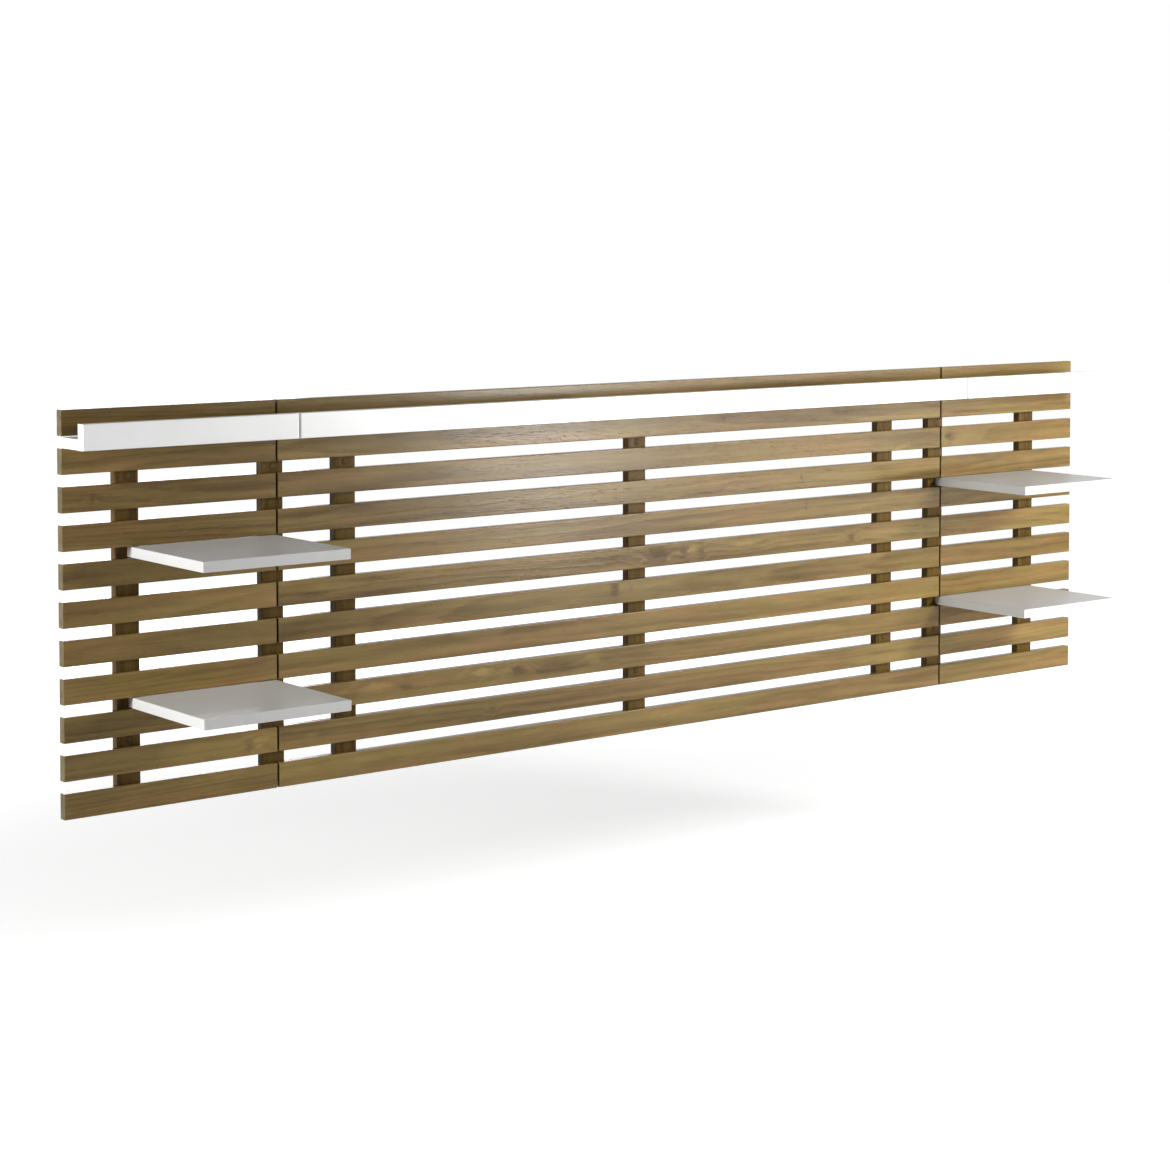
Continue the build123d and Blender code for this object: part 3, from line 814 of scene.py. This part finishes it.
def make_floor():
    """A pale round floor under the panel, which keeps its shadow and is clear from below."""
    step = 2 * math.pi / FLOOR_CORNERS
    rim = [
        (FLOOR_RADIUS * math.cos(step * i), FLOOR_RADIUS * math.sin(step * i), FLOOR_LEVEL)
        for i in range(FLOOR_CORNERS)
    ]
    mesh = bpy.data.meshes.new("floor")
    mesh.from_pydata(rim, [], [list(range(FLOOR_CORNERS))])
    floor = bpy.data.objects.new("floor", mesh)
    bpy.context.scene.collection.objects.link(floor)
    made, tree = material("pale_floor")
    paint = node(tree, "ShaderNodeBsdfDiffuse", {"Color": (*FLOOR_COLOUR, 1.0)}).outputs[0]
    place = tree.nodes.new("ShaderNodeTexCoord").outputs["Object"]
    away = node(tree, "ShaderNodeVectorMath", {0: place}, operation="LENGTH").outputs["Value"]
    glow = node(tree, "ShaderNodeEmission", {
        "Strength": spread(tree, away, FLOOR_FADE_START, FLOOR_FADE_END, FLOOR_GLOW, 1.0),
    }).outputs[0]
    dark = node(tree, "ShaderNodeEmission", {"Strength": 0.0}).outputs[0]
    clear = node(tree, "ShaderNodeBsdfTransparent").outputs[0]
    shown = node(tree, "ShaderNodeMixShader", {0: seen_or_mirrored(tree), 1: dark, 2: glow}).outputs[0]
    lit = node(tree, "ShaderNodeAddShader", {0: paint, 1: shown}).outputs[0]
    below = tree.nodes.new("ShaderNodeNewGeometry").outputs["Backfacing"]
    surface = node(tree, "ShaderNodeMixShader", {0: below, 1: lit, 2: clear}).outputs[0]
    tree.links.new(surface, tree.nodes.new("ShaderNodeOutputMaterial").inputs["Surface"])
    mesh.materials.append(made)


def seen_or_mirrored(tree):
    """1 where the camera, a mirror or clear glass looks at the backdrop, and 0 for its light."""
    rays = tree.nodes.new("ShaderNodeLightPath").outputs
    seen = calc(tree, "MAXIMUM", rays["Is Camera Ray"], rays["Is Glossy Ray"])
    return calc(tree, "MAXIMUM", seen, rays["Is Transmission Ray"])


def make_backdrop():
    """White all round for the camera and for reflections, and a weaker even daylight for the object."""
    world = bpy.data.worlds.new("studio")
    bpy.context.scene.world = world
    world.use_nodes = True
    tree = world.node_tree
    tree.nodes.clear()
    strength = spread(tree, seen_or_mirrored(tree), 0.0, 1.0, DAYLIGHT, 1.0, kind="LINEAR")
    white = node(tree, "ShaderNodeBackground", {"Color": (1, 1, 1, 1), "Strength": strength}).outputs[0]
    tree.links.new(white, tree.nodes.new("ShaderNodeOutputWorld").inputs["Surface"])


def make_lamps():
    """Soft boxes in front of the panel, beside it and behind it."""
    for name, (place, target, width, height, watts) in LAMPS.items():
        lamp = bpy.data.lights.new(name, "AREA")
        lamp.shape = "RECTANGLE"
        lamp.size, lamp.size_y, lamp.energy = width, height, watts
        placed = bpy.data.objects.new(name, lamp)
        placed.location = place
        placed.rotation_euler = (Vector(target) - Vector(place)).to_track_quat("-Z", "Y").to_euler()
        placed.visible_camera = False
        bpy.context.scene.collection.objects.link(placed)


def make_camera():
    """The photograph's camera."""
    camera = bpy.data.cameras.new("camera")
    camera.lens, camera.sensor_width, camera.shift_y = CAMERA_LENS, CAMERA_SENSOR, CAMERA_SHIFT
    placed = bpy.data.objects.new("camera", camera)
    placed.location = CAMERA_PLACE
    placed.rotation_euler = Euler((math.radians(90 - CAMERA_TIP), 0, math.radians(-CAMERA_TURN)), "XYZ")
    bpy.context.scene.collection.objects.link(placed)
    bpy.context.scene.camera = placed


make_floor()
make_backdrop()
make_lamps()
make_camera()
bpy.context.scene.view_settings.view_transform = "Standard"
